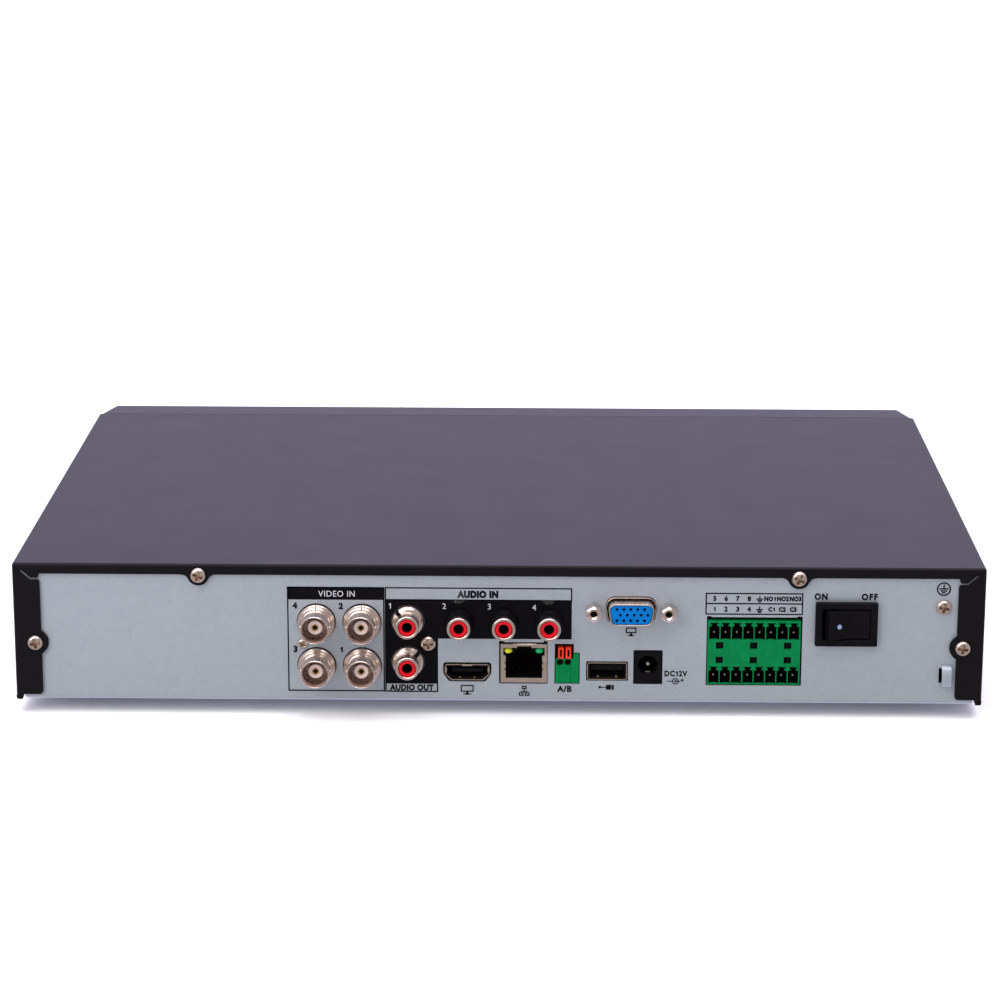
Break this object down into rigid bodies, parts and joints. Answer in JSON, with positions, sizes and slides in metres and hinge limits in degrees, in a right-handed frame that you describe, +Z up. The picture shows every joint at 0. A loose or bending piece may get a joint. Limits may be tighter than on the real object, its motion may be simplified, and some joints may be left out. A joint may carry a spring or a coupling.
{
  "type": "video recorder",
  "caption": "Slim desktop video recorder in a folded steel case, with a rear panel of video, audio, network, alarm and power connectors and a rocker switch.",
  "frame": {"origin": "centre of the whole recorder's box, on the surface that the feet stand on", "axes": "+X to the right as seen from the rear, along the case's width; +Y from the rear connectors towards the front bezel; +Z up"},
  "size_m": [0.325, 0.253, 0.053],
  "materials": {
    "cover_paint": "fine matt charcoal paint",
    "galvanised_steel": "galvanised sheet, fine satin",
    "bezel_plastic": "gloss black",
    "smoked_window": "dark translucent",
    "foot_rubber": "matt",
    "nickel_plate": "warm nickel plate",
    "screw_steel": "nickel-plated steel",
    "black_plastic": "fine satin",
    "green_plastic": "moulded satin",
    "orange_plastic": "moulded satin",
    "red_plastic": "moulded satin",
    "blue_plastic": "moulded satin",
    "circuit_board": "solder mask",
    "cast_aluminium": "cast and machined",
    "stamped_steel": "bright stamped",
    "disk_mirror": "polished",
    "cable_sleeve": "smooth",
    "print_black": "screen print",
    "print_white": "screen print",
    "dielectric_plastic": "satin",
    "contact_brass": "gold flash",
    "lamp_green": "diffused lens",
    "lamp_amber": "diffused lens",
    "clear_film": "clear sticker"
  },
  "bodies": {
    "recorder": {"chassis_tray": "galvanised_steel", "top_cover": "cover_paint", "front_bezel": "bezel_plastic", "front_window": "smoked_window", "foot_rear_left": "foot_rubber", "foot_rear_right": "foot_rubber", "foot_front_left": "foot_rubber", "foot_front_right": "foot_rubber", "front_board": "circuit_board", "main_board": "circuit_board", "upper_board": "circuit_board", "drive_board": "circuit_board", "heatsink": "cast_aluminium", "drive_base": "cast_aluminium", "drive_cover": "stamped_steel", "coin_cell": "stamped_steel", "cell_holder": "black_plastic", "coax_block": "black_plastic", "audio_stack": "black_plastic", "audio_row": "black_plastic", "video_socket_tongue": "black_plastic", "network_insert": "black_plastic", "usb_tongue": "black_plastic", "power_jack": "black_plastic", "switch_housing": "black_plastic", "bnc_connector_1": "nickel_plate", "bnc_connector_2": "nickel_plate", "bnc_connector_3": "nickel_plate", "bnc_connector_4": "nickel_plate", "video_socket_shell": "nickel_plate", "network_shield": "nickel_plate", "usb_shell": "nickel_plate", "front_usb_socket": "nickel_plate", "monitor_shell": "nickel_plate", "monitor_jackscrew_left": "nickel_plate", "monitor_jackscrew_right": "nickel_plate", "audio_out_jack": "red_plastic", "audio_in_jack_1": "red_plastic", "audio_in_jack_2": "red_plastic", "audio_in_jack_3": "red_plastic", "audio_in_jack_4": "red_plastic", "serial_terminal": "green_plastic", "alarm_terminal": "green_plastic", "monitor_insert": "blue_plastic", "cover_screw_top_left": "screw_steel", "cover_screw_top_right": "screw_steel", "cover_screw_side_left": "screw_steel", "cover_screw_side_right": "screw_steel", "ground_screw": "screw_steel", "block_screw_audio": "screw_steel", "block_screw_coax": "screw_steel", "data_cable": "cable_sleeve", "power_cable": "cable_sleeve", "front_cable": "cable_sleeve", "switch_cable": "cable_sleeve"},
    "rocker": {"switch_rocker": "black_plastic"},
    "lever_a": {"serial_lever_a": "orange_plastic"},
    "lever_b": {"serial_lever_b": "orange_plastic"},
    "platter": {"drive_platter": "disk_mirror"},
    "head_arm": {"drive_arm": "cast_aluminium"}
  },
  "joints": [
    {"name": "switch_tilt", "type": "hinge", "parent": "recorder", "child": "rocker", "pos_m": [0.1163, -0.114, 0.0335], "axis": [0, 0, 1], "range_deg": [-20, 0]},
    {"name": "lever_a_push", "type": "slide", "parent": "recorder", "child": "lever_a", "axis": [0, 1, 0], "range_m": [0, 0.0015], "stiffness_N_per_m": 800},
    {"name": "lever_b_push", "type": "slide", "parent": "recorder", "child": "lever_b", "axis": [0, 1, 0], "range_m": [0, 0.0015], "stiffness_N_per_m": 800},
    {"name": "platter_spin", "type": "hinge", "parent": "recorder", "child": "platter", "pos_m": [0.0747, 0.0368, 0.0217], "axis": [0, 0, 1], "continuous": true},
    {"name": "head_swing", "type": "hinge", "parent": "recorder", "child": "head_arm", "pos_m": [0.019, 0.0595, 0.0243], "axis": [0, 0, 1], "range_deg": [0, 33]}
  ]
}
